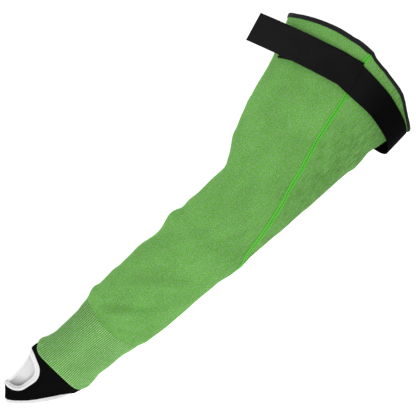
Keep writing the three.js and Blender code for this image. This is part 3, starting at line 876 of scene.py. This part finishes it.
def band_piece():
    angles = np.radians(np.linspace(BAND_ROUTE[0, 0], BAND_ROUTE[-1, 0], BAND_ROWS))
    across, up = strap_section()
    grid = np.stack([band_point(angles, a, STRAP_INNER + u) for a, u in zip(across, up)], 1)
    length = run_lengths(grid[:, 1 + STRAP_COLUMNS // 2])
    faces = strip(grid, length, across)
    make_piece("strap_band_cloth", *faces, loop_cloth, "strap_band", "strap_loop")


# The band's outer face over the thumb side, which the tab rests on
band_profile = band_point(np.linspace(0, math.radians(120), 600), 0, STRAP_LIFT)[::-1]


def band_height(across):
    """Height of the band's outer face at distances across the arm."""
    return np.interp(across, band_profile[:, 1], band_profile[:, 2])


# The tab leaves the band at a share of its length and then slopes down a little more each step
TAB_ROWS = 84
TAB_LEAVE = 0.5
TAB_SLOPES = (0.30, 0.42)


def tab_rows():
    """Across and height of the tab's middle line, row by row, laid on the band and then free."""
    step = TAB_LENGTH / TAB_ROWS
    sideways = STRAP_WIDTH / 2 * math.sin(TAB_TURN)
    run, height, rows = 0.0, 0.0, []
    for i in range(TAB_ROWS + 1):
        y = TAB_START_ACROSS + run * math.cos(TAB_TURN)
        level = float(np.max(band_height([y - sideways, y, y + sideways]))) + GAP
        past = max(0.0, i / TAB_ROWS - TAB_LEAVE) / (1 - TAB_LEAVE)
        if past > 0:
            slope = TAB_SLOPES[0] + (TAB_SLOPES[1] - TAB_SLOPES[0]) * past
            level = max(height - slope * step, level)
        fall = 0.0 if i == 0 else height - level
        height = level
        rows.append((run, y, level))
        run += math.sqrt(max(0.0, step * step - fall * fall))
    return np.array(rows)


def tab_piece():
    rows = tab_rows()
    across, up = strap_section()
    x = BAND_MIDDLE + TAB_AHEAD_OF_BAND - rows[:, :1] * math.sin(TAB_TURN)
    x = x + across[None, :] * math.cos(TAB_TURN)
    y = rows[:, 1:2] + across[None, :] * math.sin(TAB_TURN)
    z = rows[:, 2:3] + up[None, :]
    length = TAB_LENGTH / TAB_ROWS * np.arange(TAB_ROWS + 1)
    faces = strip(np.stack([x, y, z], -1), length, across)
    make_piece("strap_tab_cloth", *faces, tab_cloth, "strap_tab", "strap_hook")


band_piece()
tab_piece()


# Hand part

# Place across the hand, where the upper layer's finger edge is along it
FINGER_EDGE = np.array([
    (-50, 6), (-43.6, 0.5), (-41.8, -5.2), (-37.3, -9.4), (-31.2, -17.2), (-25.7, -25.5),
    (-19.3, -34.7), (-12.8, -43.8), (-5.7, -52.3), (4.9, -62.4), (11.9, -67.4), (15.7, -67.8),
    (20.6, -62.3), (25.7, -57.5), (31, -54),
])
# The same for the lower layer
LOWER_EDGE = np.array([
    (-50, 6), (-43.6, 0.5), (-40, -8.5), (-37.6, -13.5), (-36.1, -17.7), (-32.1, -25.9),
    (-26.6, -34.3), (-17.4, -46), (-8.5, -56.1), (2.4, -66.1), (9.4, -71.1), (14.6, -70.8),
    (20.6, -62.6), (25.7, -57.5), (31, -54),
])
# The thumb hole's edge: place along, way from the hand's side edge (above zero over the hand)
THUMB_EDGE = np.array([
    (-1.6, 0), (-4.2, 8), (-7.6, 16.3), (-10.4, 22), (-13.7, 25.4), (-19.3, 28.1),
    (-25.8, 28.4), (-34.3, 26.5), (-42.9, 24.4), (-47.9, 21.9), (-52.4, 17), (-54.6, 12.2),
    (-55.6, 6.8), (-55.4, 0), (-52, -3.4), (-46, -5), (-29, -5.6), (-12, -5),
    (-5, -3.2),
])
THUMB_POINTS = 260
HAND_COLUMNS = 216
HAND_ROWS = 74
HAND_EDGE_ROWS = 14
FINGER_LIMIT = HAND_TUCK - 3.0
EDGE_ROUNDS = 16
FORM_ROUNDS = 6
CURVE_STEPS = 40


def finger_end(angle, grow):
    """How far along the form the hand part ends, at an angle."""
    at = np.full_like(angle, -HAND_REACH / 2)
    under = np.clip(-2.5 * np.sin(angle), 0, 1)
    for _ in range(EDGE_ROUNDS):
        place = arm_point(at, angle, grow)
        upper_edge = np.interp(place[..., 1], *FINGER_EDGE.T)
        lower_edge = np.interp(place[..., 1], *LOWER_EDGE.T)
        edge = upper_edge + (lower_edge - upper_edge) * under
        at = 0.5 * at + 0.5 * np.minimum(at + edge - place[..., 0], FINGER_LIMIT)
    return at


def closed_curve(rows, count):
    """Evenly spaced points of a smooth closed curve through a table's rows."""
    ahead = np.roll(rows, -1, axis=0)
    tangent = (ahead - np.roll(rows, 1, axis=0)) / 2
    share = np.linspace(0, 1, CURVE_STEPS, endpoint=False)[:, None, None]
    blend = share * share * (3 - 2 * share)
    curve = rows * (1 - blend) + ahead * blend
    curve += share * (1 - share) ** 2 * tangent
    curve -= share ** 2 * (1 - share) * np.roll(tangent, -1, axis=0)
    curve = curve.transpose(1, 0, 2).reshape(-1, 2)
    closed = np.concatenate([curve, curve[:1]])
    length = run_lengths(closed)
    at = length[-1] * np.arange(count) / count
    return np.stack([np.interp(at, length, closed[:, k]) for k in range(2)], -1)


THUMB_CURVE = closed_curve(THUMB_EDGE, THUMB_POINTS)


def thumb_sign(at, angle, grow):
    """Distance from the thumb hole's edge, below zero in the hole."""
    point = arm_point(at, angle, grow)
    edge = arm_point(at, 0.0, grow)[..., 1]
    way = (edge - point[..., 1]) * np.where(np.sin(angle) >= 0, 1, -1)
    place = pairs(point[..., 0], way).reshape(-1, 1, 2)
    start, end = THUMB_CURVE[None], np.roll(THUMB_CURVE, -1, axis=0)[None]
    run = end - start
    share = np.clip(((place - start) * run).sum(-1) / (run * run).sum(-1), 0, 1)
    far = np.linalg.norm(start + share[..., None] * run - place, axis=-1).min(axis=1)
    spans = (start[..., 1] > place[..., 1]) != (end[..., 1] > place[..., 1])
    rise = np.where(run[..., 1] == 0, 1, run[..., 1])
    crossing = start[..., 0] + (place[..., 1] - start[..., 1]) / rise * run[..., 0]
    inside = (spans & (place[..., 0] < crossing)).sum(axis=1) % 2 == 1
    value = np.where(inside, -far, far).reshape(at.shape)
    return np.where(np.cos(angle) > 0, value, 1.0)


def clip_grid(sign):
    """Faces of a grid round the tube where sign is above zero, cut along its zero line.

    Each new point there is given as two points of the grid and the share between them.
    """
    rows, columns = sign.shape
    flat = sign.ravel()
    made, cuts, faces = {}, [], []

    def cut(a, b):
        lo, hi = min(a, b), max(a, b)
        if (lo, hi) not in made:
            made[lo, hi] = rows * columns + len(cuts)
            cuts.append((lo, hi, flat[lo] / (flat[lo] - flat[hi])))
        return made[lo, hi]

    for i in range(rows - 1):
        for j in range(columns):
            row, below, right = i * columns, (i + 1) * columns, (j + 1) % columns
            ring = [row + j, row + right, below + right, below + j]
            keep = [flat[v] > 0 for v in ring]
            if all(keep):
                faces.append(tuple(ring))
            elif any(keep):
                cell = []
                for k in range(4):
                    a, b = ring[k], ring[(k + 1) % 4]
                    if keep[k]:
                        cell.append(a)
                    if keep[k] != keep[(k + 1) % 4]:
                        cell.append(cut(a, b))
                if len(cell) > 2:
                    faces.append(tuple(cell))
    return faces, cuts


def hand_shell(name, outer, inner, material, replaced, slot, past=0.0, hem=0.0):
    """One layer of the hand part: a tube cut at the slanting finger edge, with the thumb hole.

    past is how far its lower side runs past the plain finger edge, and hem thickens its upper
    side there.
    """
    angles = ring_angles(HAND_COLUMNS)
    shares = np.r_[np.linspace(0, 0.9, HAND_ROWS), np.linspace(0.91, 1.0, HAND_EDGE_ROWS)]
    end = finger_end(angles, outer) - past * np.clip(-4 * np.sin(angles), 0, 1)
    at = HAND_TUCK + (end - HAND_TUCK)[None, :] * shares[:, None]
    grid_angle = angles[None, :] + 0 * at
    faces, cuts = clip_grid(thumb_sign(at, grid_angle, outer))
    all_at, all_angle = list(at.ravel()), list(grid_angle.ravel())
    for lo, hi, share in cuts:
        a, b = all_angle[lo], all_angle[hi]
        if abs(b - a) > math.pi:
            b += 2 * math.pi if b < a else -2 * math.pi
        all_at.append(all_at[lo] + (all_at[hi] - all_at[lo]) * share)
        all_angle.append(a + (b - a) * share)
    all_at, all_angle = np.array(all_at), np.array(all_angle)
    used = sorted({v for face in faces for v in face})
    renumber = {v: k for k, v in enumerate(used)}
    faces = [tuple(renumber[v] for v in face) for face in faces]
    all_at, all_angle = all_at[used], all_angle[used]
    share_end = (all_at - HAND_TUCK) / (finger_end(all_angle, outer) - HAND_TUCK)
    thick = hem * np.clip((share_end - 0.93) / 0.03, 0, 1) * np.clip(4 * np.sin(all_angle), 0, 1)
    outside = arm_point(all_at, all_angle, outer + thick)
    inside = arm_point(all_at, all_angle, inner)
    count = len(used)
    edges = dict.fromkeys((a, f[(k + 1) % len(f)]) for f in faces for k, a in enumerate(f))
    rim = [(a, b) for a, b in edges if (b, a) not in edges]
    solid = faces + [tuple(v + count for v in reversed(face)) for face in faces]
    solid += [(b, a, a + count, b + count) for a, b in rim]
    both = np.tile(pairs(all_at, all_angle * CUFF_WIDTH / 2), (2, 1))
    uv = [[tuple(both[v]) for v in face] for face in solid]
    for face in uv:
        turn = [c[1] for c in face]
        if max(turn) - min(turn) > CUFF_WIDTH:
            face[:] = [(c[0], c[1] + math.pi * CUFF_WIDTH if c[1] < 0 else c[1]) for c in face]
    make_piece(name, np.concatenate([outside, inside]), solid, uv, material, replaced, slot)


CLOTH_OUTER = -HAND_INSET
CLOTH_INNER = CLOTH_OUTER - HAND_WALL
LINING_OUTER = CLOTH_INNER - 0.05
LINING_INNER = LINING_OUTER - LINING_WALL
hand_shell(
    "hand_cloth", CLOTH_OUTER, CLOTH_INNER, hand_black, "hand_piece", "hand_cloth", hem=0.25,
)
hand_shell(
    "hand_lining_cloth", LINING_OUTER, LINING_INNER, lining_material(), "hand_lining", "lining",
    past=0.6,
)


def unit(ways):
    return ways / np.linalg.norm(ways, axis=1)[:, None]


def on_form(x, way, grow):
    """Place along and angle of the points at x, a way from the hand's side edge."""
    at, turn = x, np.where(way >= 0, 1, -1)
    for _ in range(FORM_ROUNDS):
        aside = arm_point(at, 0.0, grow)[..., 1] - np.abs(way)
        angle = turn * search(
            0.0, math.pi / 2, lambda middle: arm_point(at, turn * middle, grow)[..., 1] >= aside,
        )
        at = at + x - arm_point(at, angle, grow)[..., 0]
    return at, angle


def thumb_loop(grow):
    """Points round the thumb hole's edge and the way outwards from the cloth there."""
    at, angle = on_form(THUMB_CURVE[:, 0], THUMB_CURVE[:, 1], grow)
    line = arm_point(at, angle, grow)
    ahead = arm_point(at + 0.5, angle, grow) - arm_point(at - 0.5, angle, grow)
    around = arm_point(at, angle + NUDGE, grow) - arm_point(at, angle - NUDGE, grow)
    out = unit(np.cross(ahead, around))
    inwards = np.einsum("ij,ij->i", out, arm_point(at, angle, 1.0) - line) < 0
    return line, np.where(inwards[:, None], -out, out)


def smooth_loop(values, rounds):
    """A closed loop's values, each drawn to its two neighbours in each round."""
    for _ in range(rounds):
        values = 0.5 * values + 0.25 * (np.roll(values, 1, axis=0) + np.roll(values, -1, axis=0))
    return values


# Round the trim: distance into the hole, height from the middle of the cloth, and how far the
# point belongs to the flat tape that lies inside the hole
TRIM_SECTION = np.array([
    (-0.6, 0.9, 0), (-0.2, 1.5, 0), (0.6, 1.8, 0), (1.5, 1.7, 0), (2.2, 1.3, 0), (2.5, 0.8, 0),
    (2.7, 0.4, 0.1), (3.4, 0.2, 1), (4.4, -0.5, 1), (5.5, -1.5, 1), (6.4, -2.6, 1),
    (6.2, -3.3, 1), (5.2, -2.9, 1), (4, -2, 1), (2.7, -1.5, 0.6), (1.4, -1.4, 0),
    (-0.6, -1.2, 0),
])
TRIM_TAPE_START = 2.6
TRIM_TURN = 8


def trim_piece():
    line, out = thumb_loop(0.5 * (CLOTH_OUTER + LINING_INNER))
    line = smooth_loop(line, 3)
    out = unit(smooth_loop(out, 8))
    forward = unit(np.roll(line, -1, axis=0) - np.roll(line, 1, axis=0))
    inward = np.cross(out, forward)
    middle = line.mean(axis=0)
    if np.einsum("ij,ij->i", inward, middle - line).sum() < 0:
        inward = -inward
    upper = np.clip(0.5 + THUMB_CURVE[:, 1] / TRIM_TURN, 0, 1)[:, None]
    inset, rise, far = TRIM_SECTION.T[:, None]
    # the tape is wider at the wrist end, and nearly gone on the lower layer
    wide = np.interp(THUMB_CURVE[:, 0], (-52, -34, -12), (0.6, 0.9, 1.25))[:, None]
    tape = (inset - TRIM_TAPE_START) * wide * (upper + (1 - upper) * 0.05)
    inset = np.where(far > 0, TRIM_TAPE_START + tape, inset)
    rise = np.where(far > 0, rise * (upper + (1 - upper) * 0.2), rise)
    low = np.interp(THUMB_CURVE[:, 1], (0, TRIM_TURN), (0.35, 1))[:, None]
    rise = np.where(rise > 0, rise * low, rise)
    grid = line[:, None] + inset[..., None] * inward[:, None] + rise[..., None] * out[:, None]
    ring = run_lengths(pairs(inset[0], rise[0]), closed=True)
    length = run_lengths(line, closed=True)
    faces = lattice(grid, pairs(length[:, None], ring))
    make_piece("thumb_trim", *faces, trim_material(), "thumb_binding", "thumb_trim")


trim_piece()


# Floor, light and camera

FLOOR_REACH = 6.0
FLOOR_LEVEL = -0.0001
FLOOR_WHITE = 0.95
FLOOR_GLOW = 0.6
WORLD_STRENGTH = 0.61
KEY_DIRECTION = (-0.50, -0.24, 1.0)
KEY_SPREAD = math.radians(44)
KEY_STRENGTH = 1.45

# The camera looks down on the sleeve from beyond its hand end
CAMERA_RISE = math.radians(88.0)
CAMERA_ROLL = math.radians(43.7692)
CAMERA_LENS = 100.0
CAMERA_SENSOR = 36.0
CAMERA_TARGET = (0.0337, -0.0023, 0.025)
CAMERA_CLIP = (0.01, 100)
FRAME_WIDTH = 0.5076


def floor_material():
    made = bpy.data.materials.new("floor_white")
    made.use_nodes = True
    for key, value in {
        "Base Color": (FLOOR_WHITE, FLOOR_WHITE, FLOOR_WHITE, 1), "Roughness": 0.95,
        "Emission Color": (1, 1, 1, 1), "Emission Strength": FLOOR_GLOW, "Specular IOR Level": 0.1,
    }.items():
        made.node_tree.nodes["Principled BSDF"].inputs[key].default_value = value
    return made


def floor_piece():
    mesh = bpy.data.meshes.new("floor")
    corners = [(-1, -1), (1, -1), (1, 1), (-1, 1)]
    corners = [(x * FLOOR_REACH, y * FLOOR_REACH, FLOOR_LEVEL) for x, y in corners]
    mesh.from_pydata(corners, [], [(0, 1, 2, 3)])
    mesh.materials.append(floor_material())
    add_object("floor", mesh)


def key_light():
    data = bpy.data.lights.new("key", "SUN")
    data.angle = KEY_SPREAD
    data.energy = KEY_STRENGTH
    light = add_object("key", data)
    light.rotation_mode = "QUATERNION"
    light.rotation_quaternion = (-Vector(KEY_DIRECTION)).to_track_quat("-Z", "Y")


def studio_world():
    world = bpy.data.worlds.new("studio")
    world.use_nodes = True
    background = world.node_tree.nodes["Background"]
    background.inputs["Color"].default_value = (1, 1, 1, 1)
    background.inputs["Strength"].default_value = WORLD_STRENGTH
    bpy.context.scene.world = world


def photo_camera():
    """The camera at the photo's angle, turned about its own axis by CAMERA_ROLL."""
    back = Vector((-math.cos(CAMERA_RISE), 0, math.sin(CAMERA_RISE)))
    level_up = Vector((math.sin(CAMERA_RISE), 0, math.cos(CAMERA_RISE)))
    level_right = Vector((0, -1, 0))
    up = math.cos(CAMERA_ROLL) * level_up - math.sin(CAMERA_ROLL) * level_right
    right = math.cos(CAMERA_ROLL) * level_right + math.sin(CAMERA_ROLL) * level_up
    place = Vector(CAMERA_TARGET) + back * (FRAME_WIDTH * CAMERA_LENS / CAMERA_SENSOR)
    data = bpy.data.cameras.new("camera")
    data.lens = CAMERA_LENS
    data.sensor_width = CAMERA_SENSOR
    data.clip_start, data.clip_end = CAMERA_CLIP
    camera = add_object("camera", data)
    camera.matrix_world = Matrix([
        (right[k], up[k], back[k], place[k]) for k in range(3)
    ] + [(0, 0, 0, 1)])
    bpy.context.scene.camera = camera


floor_piece()
studio_world()
key_light()
bpy.context.scene.view_settings.view_transform = "Standard"
photo_camera()
